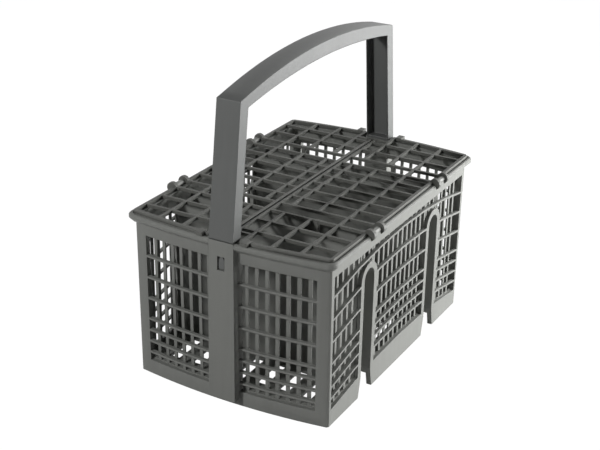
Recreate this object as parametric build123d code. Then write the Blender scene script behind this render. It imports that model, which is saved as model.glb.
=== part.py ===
from build123d import *
import os
from math import cos, pi, sin, sqrt

# Dishwasher cutlery basket: grid-walled body, snap-in arched handle and two hinged grid lids.
# Driving dimensions in millimetres, +Z up, +Y along the length, origin under the middle.

# Body shell
end_grid_half = 67.0        # edge of an end wall's grid, from the middle
end_corner_strip = 9.5      # plain strip beside it
long_grid_half = 104.8      # edge of a long wall's grid, from the middle
long_corner_strip = 5.2     # plain strip beside it
end_bow = 6.3               # how far each end wall bulges past its corners
end_draft = 2.2             # how far each end leans in at the foot
corner_radius = 2.0         # outside corner in plan
rim_height = 124.6          # top of the lip
outer_layer = 2.6           # depth of the cross ribs, skirt and bands
inner_layer = 1.2           # thickness of the upright bars

# Lip around the rim
lip_overhang = 4.4
lip_height = 6.4
lip_under = 3.2             # slope under the lip
lip_border = 2.7            # width of the raised border around the lids
ledge_drop = 0.6            # the lids' seat below the top of the lip
groove_depth = 1.2          # groove around the lids, below their seat
lip_edge = 1.1              # broken outer edge

# Grid of the walls
bow_runs = 4                # straight runs along the bow of an end's inner layers
rib_runs = 6                # straight runs along an arched rib
bar_pitch = 7.65
bar_width = 2.6
rib_height = 1.6
rib_gap = 0.25              # the ribs run this far in front of the bars
tall_rows = 4
tall_row_pitch = 16.4
short_rows = 4
short_row_pitch = 9.0
end_grid_top = 109.4
end_skirt = 11.0            # plain band at the foot of an end wall
end_first_bar = 14.9        # first upright bar, from the middle of an end wall
long_grid_top = 111.5
long_rib_rise = 12.0        # the ribs of a long wall arch up by this much in the middle
long_skirt = 11.6           # plain band of a long wall at its ends
long_skirt_rise = 9.0       # extra height of that band in the middle

# Tunnels that straddle the rack's wires and part the inside into three
tunnel_place = 53.15        # from the middle of the length
tunnel_half_width = 7.4
tunnel_arch_height = 89.5   # where the arch springs
arch_runs = 10              # straight runs around an arch
tunnel_wall = 1.8
partition_drop = 7.6        # top of the tunnels' walls below the rim
bead_width = 4.6            # smooth border around each mouth
mouth_flare = 3.0           # widening of the mouth at the foot
mouth_flare_height = 15.0

# Floor
floor_height = 10.0
floor_thickness = 2.0
floor_slot_pitch = 18.0
floor_slot_width = 7.5
floor_slots = 7
floor_margin = 6.0          # plain floor around the slots of one compartment

# Strap pockets that hold the handle
strap_width = 19.4          # at the rim
strap_foot_width = 21.0
strap_wall = 2.0
strap_foot = 5.5            # height of the strap's lower end
strap_depth = 11.2          # from its face into the basket
pocket_depth = 28.0         # from the rim down
latch_width = 5.7
latch_height = 10.2
latch_drop = 16.1           # centre of the latch window below the rim
latch_gap = 0.6             # around the latch in its window

# Handle
handle_width_foot = 19.0
handle_width_top = 18.0
handle_lean = 10.4          # each leg leans in by this much up to its shoulder
crest_height = 231.7
shoulder_drop = 12.9        # shoulders below the crest
leg_depth = 9.5
arch_depth = 10.5
inner_shoulder_drop = 6.4   # underside of the arch below the shoulder, at the legs
web_thickness = 2.4         # outer wall of the channel section
flange_thickness = 1.3      # side walls of the channel section
leg_foot_height = 2.0       # closed foot above the strap
seam_height = 0.5           # shadow line between a leg and its strap
seam_depth = 0.5
fit_gap = 0.2               # handle tang in its pocket

# Lids
lid_thickness = 2.2
lid_gap = 0.7               # around a lid, inside the border
lid_seat_gap = 0.3          # under a lid
lid_middle_gap = 2.0        # between the two lids
lid_bar = 2.1
lid_edge_bar = 2.6
lid_inner_bar = 2.0
lid_row_pitch = 18.45                   # cross bars of an end field
lid_last_cell = 8.0                     # least length of the cells at a lid's end
hinge_bar_spacing = 14.3                # the two cross bars that carry one hinge
lid_rows_middle = 5
lid_end_columns = (13.4, 34.2, 55.0)    # lengthways bars, from the middle of the width
lid_middle_columns = (10.9, 31.4, 55.0)
handle_side_gap = 2.3       # between a lid and the side of a leg
handle_back_gap = 6.7       # between a lid and the back of a leg
lift_tab_gap = 0.3          # from the notch's edge bar
lift_tab_width = 5.0
lift_tab_length = 4.4
lift_tab_rise = 1.0         # above the lid
peg_place = 38.5            # small pegs that stand on the tunnels' walls
peg_width = 3.0

# Hinges
hinge_inset = 1.9           # pin axis inside the lip's face
hinge_lift = 0.4            # pin axis above the lip
eye_radius = 4.2
eye_sides = 12
eye_width = 3.4
barrel_radius = 2.2
barrel_sides = 8
bore_sides = 10             # flats of the bore around the round pin
pin_radius = 1.5
pin_length = 2.6
pin_clearance = 0.08
pin_end_gap = 0.3
hinge_side_gap = 0.3
hinge_round_gap = 0.35

# Derived values
half_width = end_grid_half + end_corner_strip
wall_width = 2 * half_width
wall_length = 2 * (long_grid_half + long_corner_strip)
wall_thickness = outer_layer + inner_layer
lip_bottom = rim_height - lip_height
ledge_height = rim_height - ledge_drop
partition_height = rim_height - partition_drop
lip_half_width = half_width + lip_overhang
end_face = wall_length / 2 + end_bow + lip_overhang
hinge_x = lip_half_width - hinge_inset
hinge_z = rim_height + hinge_lift
hinge_bars = (tunnel_place + hinge_bar_spacing / 2, tunnel_place - hinge_bar_spacing / 2)
lid_bottom = ledge_height + lid_seat_gap
lid_top = lid_bottom + lid_thickness
lid_grow = lip_overhang - lip_border - lid_gap
foot_plane = end_face - strap_wall
shoulder_height = crest_height - shoulder_drop
handle_notch_half = handle_width_foot / 2 + handle_side_gap
handle_notch_end = end_face - leg_depth - handle_back_gap


def arc_rise(half, rise, place):
    """Height of a shallow arc above its chord, at one place from its middle."""
    radius = (half * half + rise * rise) / (2 * rise)
    return rise - radius + sqrt(radius * radius - place * place)


def bowed_plan(grow):
    """Outline of the body seen from above at the rim, grown by an offset, with sharp corners."""
    x = half_width + grow
    y = wall_length / 2 + grow
    outline = Curve() + [
        Line((x, -y), (x, y)),
        ThreePointArc((x, y), (0, y + end_bow), (-x, y)),
        Line((-x, y), (-x, -y)),
        ThreePointArc((-x, -y), (0, -y - end_bow), (x, -y)),
    ]
    return make_face(outline)


def plan(grow):
    """Outline of the body with a flat across each corner, tangent to its radius."""
    face = bowed_plan(grow)
    return chamfer(face.vertices(), (corner_radius + grow) * (2 - sqrt(2)))


def round_plan(grow):
    """Outline of the body with round corners."""
    face = bowed_plan(grow)
    return fillet(face.vertices(), corner_radius + grow)


def core_plan(grow):
    """Outline of the body's inner layers, with the bow of each end in short straight runs."""
    x = half_width + grow
    y = wall_length / 2 + grow
    places = [x - 2 * x * i / bow_runs for i in range(bow_runs + 1)]
    back = [(place, y + arc_rise(x, end_bow, place)) for place in places]
    return make_face(Polyline(*back, *[(-px, -py) for px, py in back], close=True))


def drafted(face, low, high):
    """Solid body between two heights, with the lean of the end walls."""
    lean = Plane((0, 0, rim_height), x_dir=(1, 0, 0), z_dir=(0, -end_draft, rim_height))
    front = extrude(lean * face, 2 * rim_height, both=True)
    front &= block((-wall_width, wall_width), (-wall_length, 0), (low, high))
    return front + mirror(front, about=Plane.XZ)


def upright(face, low, high):
    """Solid with upright sides between two heights."""
    return extrude(Pos(0, 0, low) * face, high - low, dir=(0, 0, 1))


def block(x, y, z):
    """Box from three (low, high) pairs."""
    size = Box(x[1] - x[0], y[1] - y[0], z[1] - z[0])
    return Pos((x[0] + x[1]) / 2, (y[0] + y[1]) / 2, (z[0] + z[1]) / 2) * size


def mirrored(solid, plane):
    """A solid together with its mirror image."""
    return [solid, mirror(solid, about=plane)]


def rib_levels(grid_top):
    """Lower edges of the cross ribs, from the top down."""
    tall = [grid_top - tall_row_pitch * (i + 1) for i in range(tall_rows)]
    short = [tall[-1] - short_row_pitch * (i + 1) for i in range(short_rows - 1)]
    return tall + short


def arch_height(base, rise, y):
    """Height of an arched line of a long wall at one place along it."""
    return base + arc_rise(wall_length / 2, rise, y)


def arch_line(base, rise):
    """Points of an arched line of a long wall, in short straight runs."""
    reach = long_grid_half
    places = [reach * (2 * i / rib_runs - 1) for i in range(rib_runs + 1)]
    return [(y, arch_height(base, rise, y)) for y in places]


def end_wall_rows():
    """Windows between the cross ribs of both end walls."""
    levels = rib_levels(end_grid_top)
    tops = [end_grid_top] + levels
    feet = [level + rib_height for level in levels] + [end_skirt]
    inner = strap_width / 2
    cuts = []
    for top, foot in zip(tops, feet):
        row = block((inner, end_grid_half), (-wall_length, wall_length), (foot, top))
        cuts += mirrored(row, Plane.YZ)
    return cuts


def end_wall_columns():
    """Slots between the upright bars of both end walls."""
    count = int((end_grid_half - end_first_bar - bar_width / 2) // bar_pitch) + 1
    bars = [end_first_bar + bar_pitch * i for i in range(count)]
    starts = [strap_width / 2] + [bar + bar_width / 2 for bar in bars]
    stops = [bar - bar_width / 2 for bar in bars] + [end_grid_half]
    cuts = []
    for start, stop in zip(starts, stops):
        slot = block((start, stop), (-wall_length, wall_length), (end_skirt, end_grid_top))
        cuts += mirrored(slot, Plane.YZ)
    return cuts


def long_wall_rows():
    """Windows between the arched cross ribs of both long walls."""
    levels = rib_levels(long_grid_top)
    tops = [[(-long_grid_half, long_grid_top), (long_grid_half, long_grid_top)]]
    tops += [arch_line(level, long_rib_rise) for level in levels]
    feet = [arch_line(level + rib_height, long_rib_rise) for level in levels]
    feet += [arch_line(long_skirt, long_skirt_rise)]
    cuts = []
    for top, foot in zip(tops, feet):
        window = make_face(Polyline(*foot, *reversed(top), close=True))
        cuts.append(extrude(Plane.YZ * window, wall_width, both=True))
    return cuts


def long_wall_columns():
    """Slots between the upright bars of both long walls."""
    count = int((long_grid_half - bar_width) // bar_pitch)
    bars = [bar_pitch * (i + 0.5) for i in range(count)]
    starts = [-bars[0] + bar_width / 2] + [bar + bar_width / 2 for bar in bars]
    stops = [bar - bar_width / 2 for bar in bars] + [long_grid_half]
    cuts = []
    for start, stop in zip(starts, stops):
        foot = arch_height(long_skirt, long_skirt_rise, max(start, 0))
        slot = block((-wall_width, wall_width), (start, stop), (foot, long_grid_top))
        cuts += [slot] if start < 0 else mirrored(slot, Plane.XZ)
    return cuts


def grid_fields():
    """The whole grid areas of the end walls and the long walls, as solids through the body."""
    field = block((strap_width / 2, end_grid_half), (-wall_length, wall_length), (end_skirt, end_grid_top))
    foot = arch_line(long_skirt, long_skirt_rise)
    side = Polyline(*foot, (long_grid_half, long_grid_top), (-long_grid_half, long_grid_top), close=True)
    return mirrored(field, Plane.YZ) + [extrude(Plane.YZ * make_face(side), wall_width, both=True)]


def arched_prism(half, foot, reach):
    """Round-topped prism across the width, at one tunnel's place."""
    turns = [pi * i / arch_runs for i in range(arch_runs + 1)]
    arch = [(half * cos(turn), tunnel_arch_height + half * sin(turn)) for turn in turns]
    outline = Polyline((-half, foot), (half, foot), *arch, close=True)
    prism = extrude(Plane.YZ * make_face(outline), reach, both=True)
    return Pos(0, tunnel_place, 0) * prism


def mouth_flares():
    """Widening of a tunnel's foot, as a cutter across the width."""
    wide = tunnel_half_width + mouth_flare
    outline = Polyline((-wide, 0), (wide, 0), (tunnel_half_width, mouth_flare_height),
                       (-tunnel_half_width, mouth_flare_height), close=True)
    prism = extrude(Plane.YZ * make_face(outline), wall_width, both=True)
    return Pos(0, tunnel_place, 0) * prism


def grid_walls():
    """Two-layer walls: cross ribs on the outside, upright bars behind them."""
    outside = drafted(plan(0), 0, ledge_height)
    between = drafted(core_plan(-outer_layer), 0, ledge_height)
    inside = drafted(core_plan(-wall_thickness), 0, ledge_height)
    behind = drafted(core_plan(rib_gap - outer_layer), 0, ledge_height) - between
    rib_layer = (outside - between) - (end_wall_rows() + long_wall_rows())
    rib_layer -= [behind & field for field in grid_fields()]
    bar_layer = (between - inside) - (end_wall_columns() + long_wall_columns())
    bar_layer -= block((-wall_width, wall_width), (-wall_length, wall_length), (0, floor_height))
    shell = outside - inside
    beads = mirrored(arched_prism(tunnel_half_width + bead_width, 0, wall_width), Plane.XZ)
    return rib_layer + [bar_layer] + [shell & bead for bead in beads]


def floor():
    """Slotted floor of the three compartments."""
    top = floor_height + floor_thickness
    plate = drafted(core_plan(-outer_layer), floor_height, top)
    near = tunnel_place - tunnel_half_width - tunnel_wall
    far = tunnel_place + tunnel_half_width + tunnel_wall
    end = wall_length / 2 - end_draft - wall_thickness
    fields = [(-near, near), (far, end), (-end, -far)]
    cuts = []
    for i in range(floor_slots):
        x = floor_slot_pitch * (i - (floor_slots - 1) / 2)
        for low, high in fields:
            cuts.append(block((x - floor_slot_width / 2, x + floor_slot_width / 2),
                              (low + floor_margin, high - floor_margin), (floor_height, top)))
    return plate - cuts


def tunnels():
    """Walls and roofs of the two tunnels, still closed at their mouths."""
    reach = half_width - outer_layer
    pieces = [arched_prism(tunnel_half_width + tunnel_wall, floor_height, reach)]
    for start in (tunnel_place - tunnel_half_width - tunnel_wall, tunnel_place + tunnel_half_width):
        pieces.append(block((-reach, reach), (start, start + tunnel_wall), (floor_height, partition_height)))
    return pieces + [mirror(piece, about=Plane.XZ) for piece in pieces]


def tunnel_openings():
    """Cutters that open the two tunnels from side to side."""
    opening = arched_prism(tunnel_half_width, 0, wall_width)
    return mirrored(opening, Plane.XZ) + mirrored(mouth_flares(), Plane.XZ)


def lip():
    """Rim with a sloped underside and a groove between its border and the lids' seat."""
    ring = upright(round_plan(lip_overhang), lip_bottom, rim_height)
    ring = chamfer(ring.faces().sort_by(Axis.Z)[-1].edges(), lip_edge)
    ring = chamfer(ring.faces().sort_by(Axis.Z)[0].edges(), lip_under)
    ring -= upright(plan(lip_overhang - lip_border), ledge_height - groove_depth, rim_height)
    return ring - drafted(core_plan(-wall_thickness), lip_bottom, rim_height)


def strap():
    """Upright strap in the middle of the front end wall, with the pocket for the handle."""
    half = strap_width / 2
    back = -end_face + strap_depth
    foot = strap_foot_width / 2
    front = Polyline((-foot, strap_foot), (foot, strap_foot), (half, rim_height), (-half, rim_height),
                     close=True)
    body = extrude(Plane.XZ.offset(-back) * make_face(front), strap_depth, dir=(0, -1, 0))
    inner = half - strap_wall
    pocket_foot = rim_height - pocket_depth
    pocket = block((-inner, inner), (-foot_plane, back - strap_wall), (pocket_foot, rim_height))
    channel = block((-inner, inner), (-foot_plane, back),
                    (floor_height + floor_thickness, pocket_foot - strap_wall))
    middle = rim_height - latch_drop
    window = block((-latch_width / 2, latch_width / 2), (-end_face, -foot_plane),
                   (middle - latch_height / 2, middle + latch_height / 2))
    return body, [pocket, channel, window]


def hinge_notches():
    """Cuts in the lip that let the lid's eyes turn."""
    half = eye_width / 2 + hinge_side_gap
    low = hinge_z - eye_radius - hinge_round_gap
    start = hinge_x - eye_radius - hinge_round_gap
    cuts = []
    for y in hinge_bars:
        cuts.append(block((start, lip_half_width), (y - half, y + half), (low, rim_height)))
    return cuts


def on_hinge(solid, y):
    """A piece drawn upright at the origin, laid on the right hinge axis at one place along it."""
    return Pos(hinge_x, y, hinge_z) * Rot(90, 0, 0) * solid


def flat_sided(outline, length):
    """Many-sided bar, centred at the origin."""
    return extrude(outline, length / 2, both=True)


def hinge_barrel():
    """Barrel between two eyes, with a round pin at its outer end."""
    length = hinge_bar_spacing - eye_width - 2 * hinge_side_gap
    span = (tunnel_place - length / 2, tunnel_place + length / 2)
    barrel = on_hinge(flat_sided(RegularPolygon(barrel_radius, barrel_sides), length), tunnel_place)
    reach = length / 2 + pin_length
    pin = on_hinge(Cylinder(pin_radius, reach), tunnel_place + reach / 2)
    base = block((hinge_x - barrel_radius / 2, lip_half_width), span, (ledge_height, hinge_z))
    return barrel + [pin, base]


def four_corners(solid):
    """A solid at +X +Y, with its mirror images in the other three quarters."""
    pair = mirrored(solid, Plane.XZ)
    return pair + [mirror(item, about=Plane.YZ) for item in pair]


def make_basket():
    """The whole body as one moulding."""
    strap_body, strap_cuts = strap()
    body = grid_walls() + (tunnels() + mirrored(strap_body, Plane.XZ) + [floor(), lip()])
    cuts = tunnel_openings()
    for cut in strap_cuts:
        cuts += mirrored(cut, Plane.XZ)
    for notch in hinge_notches():
        cuts += four_corners(notch)
    body -= cuts
    return body + four_corners(hinge_barrel())


def bail_region(foot, shoulder, shoulder_z, crest):
    """Side view of the space under an arch, from the rim up."""
    outline = Curve() + [
        Line((-foot, rim_height), (-shoulder, shoulder_z)),
        ThreePointArc((-shoulder, shoulder_z), (0, crest), (shoulder, shoulder_z)),
        Line((shoulder, shoulder_z), (foot, rim_height)),
        Line((foot, rim_height), (-foot, rim_height)),
    ]
    return Plane.YZ * make_face(outline)


def handle_tang():
    """Tongue under the front leg that snaps into the pocket, with its latch."""
    half = strap_width / 2 - strap_wall - fit_gap
    face = -foot_plane + fit_gap
    back = -end_face + strap_depth - strap_wall - fit_gap
    low = rim_height - pocket_depth + fit_gap
    tang = block((-half, half), (face, back), (low, rim_height))
    middle = rim_height - latch_drop
    side = latch_width / 2 - latch_gap
    low_z = middle - latch_height / 2 + latch_gap
    high_z = middle + latch_height / 2 - latch_gap
    outline = Polyline((-side, low_z), (side, low_z), (side, high_z - side), (side / 2, high_z),
                       (-side / 2, high_z), (-side, high_z - side), close=True)
    latch = extrude(Plane.XZ.offset(-face) * make_face(outline), strap_wall - latch_gap, dir=(0, -1, 0))
    return tang + latch


def make_handle():
    """Arched bail of channel section, open to the inside."""
    shoulder = end_face - handle_lean
    wide = handle_width_foot / 2
    outer = extrude(bail_region(end_face, shoulder, shoulder_height, crest_height), wide, both=True)
    inner_z = shoulder_height - inner_shoulder_drop
    inner = bail_region(end_face - leg_depth, shoulder - leg_depth, inner_z, crest_height - arch_depth)
    body = outer - extrude(inner, wide, both=True)
    channel = bail_region(end_face - web_thickness, shoulder - web_thickness, shoulder_height - web_thickness,
                          crest_height - web_thickness)
    hollow = extrude(channel, wide - flange_thickness, both=True)
    hollow -= block((-wide, wide), (-end_face, end_face), (rim_height, rim_height + leg_foot_height))
    body -= hollow
    taper = Polyline((-wide, rim_height), (wide, rim_height), (handle_width_top / 2, crest_height),
                     (-handle_width_top / 2, crest_height), close=True)
    body &= extrude(Plane.XZ * make_face(taper), wall_length, both=True)
    seam = (rim_height, rim_height + seam_height)
    slab = block((-wide, wide), (-end_face, leg_depth - end_face), seam)
    neck = block((seam_depth - wide, wide - seam_depth),
                 (seam_depth - end_face, leg_depth - end_face - seam_depth), seam)
    body -= mirrored(slab - neck, Plane.XZ)
    return body + mirrored(handle_tang(), Plane.XZ)


def lid_outline():
    """Right lid seen from above, with rounded outer corners and clear of the handle."""
    whole = plan(lid_grow)
    reach = wall_length
    middle = Pos(-reach / 2 + lid_middle_gap / 2, 0) * Rectangle(reach, 2 * reach)
    face = whole - middle
    notch_height = reach - handle_notch_end
    notch = Pos(0, handle_notch_end + notch_height / 2) * Rectangle(2 * handle_notch_half, notch_height)
    return face - notch - mirror(notch, about=Plane.XZ)


def lid_cells():
    """Openings of the lid's grid as (x low, x high, y low, y high)."""
    outer_x = half_width + lid_grow - lid_edge_bar
    inner_x = lid_middle_gap / 2 + lid_inner_bar
    half = lid_bar / 2
    hinge_far, hinge_near = hinge_bars
    cells = []
    for columns, bands in ((lid_end_columns, end_bands()), (lid_middle_columns, middle_bands())):
        lefts = [inner_x] + [column + half for column in columns]
        rights = [column - half for column in columns] + [outer_x]
        for low, high in bands:
            cells += [(left, right, low + half, high - half) for left, right in zip(lefts, rights)]
    bridge = lid_end_columns[-1]
    for left, right in ((inner_x, bridge - half), (bridge + half, outer_x + lid_edge_bar)):
        cells.append((left, right, hinge_near + half, hinge_far - half))
    return cells


def end_bands():
    """Rows of the lid's end field on the +Y side, the last one open to the lid's edge."""
    start = hinge_bars[0]
    count = int((wall_length / 2 - lid_last_cell - start) // lid_row_pitch)
    edges = [start + lid_row_pitch * i for i in range(count + 1)] + [wall_length]
    return list(zip(edges[:-1], edges[1:]))


def middle_bands():
    """Rows of the lid's middle field on the +Y side, the first one lying across the middle bar."""
    pitch = 2 * hinge_bars[1] / (lid_rows_middle + 1)
    edges = [pitch * i for i in range((lid_rows_middle + 1) // 2 + 1)]
    return list(zip(edges[:-1], edges[1:]))


def make_right_lid():
    """Grid lid with hinge eyes on its outer edge and a lift tab at each inner corner."""
    inside = core_plan(lid_grow - lid_edge_bar)
    notch_x = handle_notch_half + lid_edge_bar
    notch_y = handle_notch_end - lid_edge_bar
    holes = []
    for left, right, low, high in lid_cells():
        if right < notch_x and high > notch_y:
            high = notch_y
        cell = Pos((left + right) / 2, (low + high) / 2) * Rectangle(right - left, high - low)
        cell = cell & inside if high > handle_notch_end else cell
        holes += [cell, mirror(cell, about=Plane.XZ)]
    grid = lid_outline() - holes
    lid = upright(grid, lid_bottom, lid_top)
    for y in hinge_bars:
        arm = block((hinge_x - eye_radius - lid_edge_bar, hinge_x), (y - eye_width / 2, y + eye_width / 2),
                    (lid_bottom, lid_top))
        eye = on_hinge(flat_sided(RegularPolygon(eye_radius, eye_sides), eye_width), y)
        lid += mirrored(eye + arm, Plane.XZ)
    depth = pin_length - hinge_side_gap + pin_end_gap
    flats = RegularPolygon(pin_radius + pin_clearance, bore_sides, major_radius=False)
    bore = on_hinge(flat_sided(flats, 2 * depth), hinge_bars[0] - eye_width / 2)
    lid -= mirrored(bore, Plane.XZ)
    tab_start = notch_x + lift_tab_gap
    tab = block((tab_start, tab_start + lift_tab_width),
                (-end_face, lift_tab_length + lid_edge_bar - end_face),
                (rim_height + lid_seat_gap, lid_top + lift_tab_rise))
    peg = block((peg_place - peg_width / 2, peg_place + peg_width / 2),
                (hinge_bars[0] - peg_width / 2, hinge_bars[0] + peg_width / 2),
                (partition_height + lid_seat_gap, lid_top))
    return lid + (mirrored(tab, Plane.XZ) + mirrored(peg, Plane.XZ))


right_lid = make_right_lid()
nodes = {
    "basket": make_basket(),
    "handle": make_handle(),
    "right_lid": right_lid,
    "left_lid": mirror(right_lid, about=Plane.YZ),
}

os.makedirs("parts", exist_ok=True)
for name, shape in nodes.items():
    export_step(shape, f"parts/{name}.step")
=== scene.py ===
from math import cos, radians, sin

import bpy
from mathutils import Matrix, Vector

# Dishwasher cutlery basket in grey plastic, on a white studio floor.

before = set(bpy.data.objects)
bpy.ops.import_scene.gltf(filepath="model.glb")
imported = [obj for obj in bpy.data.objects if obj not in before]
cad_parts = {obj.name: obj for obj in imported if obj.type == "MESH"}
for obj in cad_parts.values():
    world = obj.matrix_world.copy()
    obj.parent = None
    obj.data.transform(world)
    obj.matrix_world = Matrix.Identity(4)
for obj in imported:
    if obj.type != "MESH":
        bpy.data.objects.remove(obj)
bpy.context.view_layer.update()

WHITE = (1.0, 1.0, 1.0, 1.0)

# Camera, in metres and degrees
IMAGE_WIDTH = 600
FOCAL_PIXELS = 1275.06
SENSOR_WIDTH = 36.0
CAMERA_AZIMUTH = 28.83
CAMERA_ELEVATION = 23.88
CAMERA_ROLL = 1.19
CAMERA_DISTANCE = 0.94789
CAMERA_TARGET = (-0.00865, 0.00191, 0.08829)

# Light, in watts and metres
SKY_STRENGTH = 0.015
KEY_POWER = 23.0
KEY_PLACE = (0.60, 0.55, 0.12)
KEY_SIZE = 0.6
FRONT_POWER = 6.1
FRONT_PLACE = (-0.33, -0.90, 0.62)
FRONT_SIZE = 0.12
BACK_POWER = 1.3
BACK_PLACE = (0.0, 0.75, 0.75)
BACK_SIZE = 0.6
LIGHT_AIM = (0.0, 0.0, 0.09)

# Floor
FLOOR_SIZE = 12.0
FLOOR_WHITE = 0.93
FLOOR_GLOW = 1.075
FLOOR_MATTE = (0.6, 0.6, 0.6, 1.0)

# Plastic
GREY_BODY = (0.198, 0.202, 0.190)
GREY_HANDLE = (0.128, 0.132, 0.129)
# The lid grey is the body grey scaled darker: painted shade for the dim light on the lid tops
LID_GREY_SHADED = (0.117, 0.119, 0.110)
ROUGHNESS_BODY = 0.48
ROUGHNESS_HANDLE = 0.46
ROUGHNESS_LID = 0.48
ROUGHNESS_SPREAD = 0.10
PLASTIC_SHINE = 0.18
TONE_SPREAD = 0.10
CLOUD_SCALE = 38.0
CLOUD_DETAIL = 3.0
CLOUD_SHARE = 0.4
DRAG_STRETCH = (1.0, 1.0, 0.04)
DRAG_SCALE = 260.0
DRAG_DETAIL = 2.0
GRAIN_SCALE = 2600.0
GRAIN_DETAIL = 2.0
GRAIN_STRENGTH = 0.10
GRAIN_DEPTH = 0.0002

# Moulded edges, in metres and degrees
EDGE_ROUNDING = {"basket": 0.00015, "handle": 0.00060, "left_lid": 0.00030, "right_lid": 0.00030}
EDGE_SEGMENTS = 2
EDGE_ANGLE = 40.0
WELD_REACH = 0.00001

# Sockets of a colour Mix node, whose names repeat
MIX_FACTOR, MIX_FIRST, MIX_SECOND, MIX_RESULT = 0, 6, 7, 2


class Value:
    """A number that changes over a surface, with arithmetic that adds Math nodes."""

    def __init__(self, tree, socket):
        self.tree = tree
        self.socket = socket

    def math(self, operation, other):
        return self.tree.node("ShaderNodeMath", {"operation": operation}, {0: self, 1: other})

    def __add__(self, other):
        return self.math("ADD", other)

    __radd__ = __add__

    def __mul__(self, other):
        return self.math("MULTIPLY", other)

    __rmul__ = __mul__

    def largest(self, other):
        return self.math("MAXIMUM", other)


class Tree:
    """A material's or the world's nodes."""

    def __init__(self, owner):
        owner.use_nodes = True
        self.nodes = owner.node_tree.nodes
        self.links = owner.node_tree.links
        self.nodes.clear()

    def node(self, kind, settings=None, sockets=None, output=0):
        made = self.nodes.new(kind)
        for name, value in (settings or {}).items():
            setattr(made, name, value)
        for name, value in (sockets or {}).items():
            if isinstance(value, Value):
                self.links.new(value.socket, made.inputs[name])
            else:
                made.inputs[name].default_value = value
        return Value(self, made.outputs[output]) if made.outputs else made

    def noise(self, place, scale, detail):
        return self.node("ShaderNodeTexNoise", {}, {
            "Vector": place, "Scale": scale, "Detail": detail})


def shade(colour, factor):
    """The colour made lighter or darker, with full alpha."""
    return tuple(factor * channel for channel in colour) + (1.0,)


def moulded_plastic(name, colour, roughness):
    """Matte grey plastic with faint mottling, upright drag marks and a fine moulded grain."""
    material = bpy.data.materials.new(name)
    tree = Tree(material)
    place = tree.node("ShaderNodeTexCoord", output="Object")
    drawn = tree.node("ShaderNodeVectorMath", {"operation": "MULTIPLY"}, {
        0: place, 1: DRAG_STRETCH})
    drags = tree.noise(drawn, DRAG_SCALE, DRAG_DETAIL)
    clouds = tree.noise(place, CLOUD_SCALE, CLOUD_DETAIL)
    grain = tree.noise(place, GRAIN_SCALE, GRAIN_DETAIL)
    tone = tree.node("ShaderNodeMix", {"data_type": "RGBA"}, {
        MIX_FACTOR: CLOUD_SHARE * clouds + (1 - CLOUD_SHARE) * drags,
        MIX_FIRST: shade(colour, 1 - TONE_SPREAD),
        MIX_SECOND: shade(colour, 1 + TONE_SPREAD)}, output=MIX_RESULT)
    rough = roughness - ROUGHNESS_SPREAD / 2 + ROUGHNESS_SPREAD * grain
    bump = tree.node("ShaderNodeBump", {}, {
        "Height": grain, "Strength": GRAIN_STRENGTH, "Distance": GRAIN_DEPTH})
    surface = tree.node("ShaderNodeBsdfPrincipled", {}, {
        "Base Color": tone, "Roughness": rough, "Normal": bump,
        "Specular IOR Level": PLASTIC_SHINE})
    tree.node("ShaderNodeOutputMaterial", {}, {"Surface": surface})
    return material


def seen_directly(tree):
    """One where the camera, a mirror image or a view through glass sees the surface."""
    camera = tree.node("ShaderNodeLightPath", output="Is Camera Ray")
    glossy = tree.node("ShaderNodeLightPath", output="Is Glossy Ray")
    through = tree.node("ShaderNodeLightPath", output="Is Transmission Ray")
    return camera.largest(glossy).largest(through)


def white_floor():
    """Wide floor that looks white and keeps the object's shadow."""
    bpy.ops.mesh.primitive_plane_add(size=FLOOR_SIZE)
    floor = bpy.context.object
    floor.name = "floor"
    material = bpy.data.materials.new("floor_white")
    tree = Tree(material)
    matte = tree.node("ShaderNodeBsdfDiffuse", {}, {"Color": FLOOR_MATTE})
    glow = tree.node("ShaderNodeEmission", {}, {"Color": WHITE, "Strength": FLOOR_GLOW})
    mix = tree.node("ShaderNodeMixShader", {}, {
        0: seen_directly(tree) * FLOOR_WHITE, 1: matte, 2: glow})
    tree.node("ShaderNodeOutputMaterial", {}, {"Surface": mix})
    floor.data.materials.append(material)


def sky():
    """Even grey light all round, white where it is seen directly."""
    world = bpy.data.worlds.new("studio")
    bpy.context.scene.world = world
    tree = Tree(world)
    strength = SKY_STRENGTH + (1 - SKY_STRENGTH) * seen_directly(tree)
    light = tree.node("ShaderNodeBackground", {}, {"Color": WHITE, "Strength": strength})
    tree.node("ShaderNodeOutputWorld", {}, {"Surface": light})


def soft_box(name, place, size, power):
    """Square area lamp that faces the basket."""
    lamp = bpy.data.lights.new(name, "AREA")
    lamp.size = size
    lamp.energy = power
    holder = bpy.data.objects.new(name, lamp)
    holder.location = place
    aim = Vector(LIGHT_AIM) - Vector(place)
    holder.rotation_euler = aim.to_track_quat("-Z", "Y").to_euler()
    bpy.context.collection.objects.link(holder)


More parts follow.
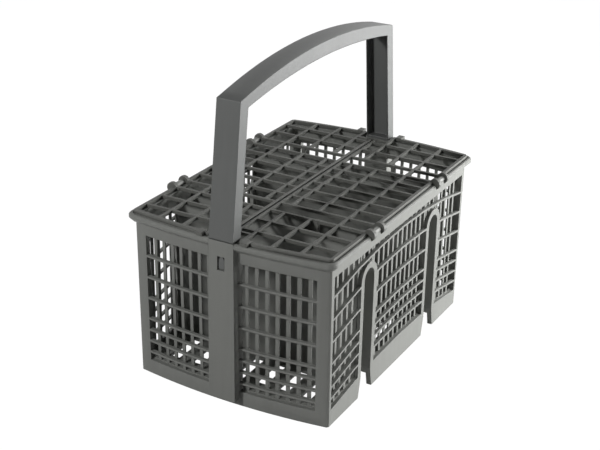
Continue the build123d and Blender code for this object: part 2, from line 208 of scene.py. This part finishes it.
def photo_camera():
    """Camera at the photograph's viewing angle."""
    azimuth = radians(CAMERA_AZIMUTH)
    elevation = radians(CAMERA_ELEVATION)
    roll = radians(CAMERA_ROLL)
    back = Vector((sin(azimuth) * cos(elevation), -cos(azimuth) * cos(elevation), sin(elevation)))
    level = Vector((cos(azimuth), sin(azimuth), 0.0))
    upright = back.cross(level)
    right = cos(roll) * level + sin(roll) * upright
    up = cos(roll) * upright - sin(roll) * level
    data = bpy.data.cameras.new("camera")
    data.sensor_width = SENSOR_WIDTH
    data.lens = FOCAL_PIXELS * SENSOR_WIDTH / IMAGE_WIDTH
    camera = bpy.data.objects.new("camera", data)
    turn = Matrix((right, up, back)).transposed().to_4x4()
    place = Vector(CAMERA_TARGET) + CAMERA_DISTANCE * back
    camera.matrix_world = Matrix.Translation(place) @ turn
    bpy.context.collection.objects.link(camera)
    bpy.context.scene.camera = camera


def dress(node, material):
    """Gives a CAD piece its plastic and rounds its moulded edges."""
    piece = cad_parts[node]
    piece.data.materials.clear()
    piece.data.materials.append(material)
    joined = piece.modifiers.new("joined_faces", "WELD")
    joined.merge_threshold = WELD_REACH
    rounding = piece.modifiers.new("rounded_edges", "BEVEL")
    rounding.width = EDGE_ROUNDING[node]
    rounding.segments = EDGE_SEGMENTS
    rounding.limit_method = "ANGLE"
    rounding.angle_limit = radians(EDGE_ANGLE)
    rounding.use_clamp_overlap = False
    rounding.harden_normals = True


body_plastic = moulded_plastic("body_plastic", GREY_BODY, ROUGHNESS_BODY)
handle_plastic = moulded_plastic("handle_plastic", GREY_HANDLE, ROUGHNESS_HANDLE)
# The lid plastic takes the darker lid grey, which is painted shade
lid_plastic = moulded_plastic("lid_plastic", LID_GREY_SHADED, ROUGHNESS_LID)
dress("basket", body_plastic)
dress("handle", handle_plastic)
dress("left_lid", lid_plastic)
dress("right_lid", lid_plastic)

white_floor()
sky()
soft_box("key_light", KEY_PLACE, KEY_SIZE, KEY_POWER)
soft_box("front_light", FRONT_PLACE, FRONT_SIZE, FRONT_POWER)
soft_box("back_light", BACK_PLACE, BACK_SIZE, BACK_POWER)
photo_camera()
bpy.context.scene.view_settings.view_transform = "Standard"
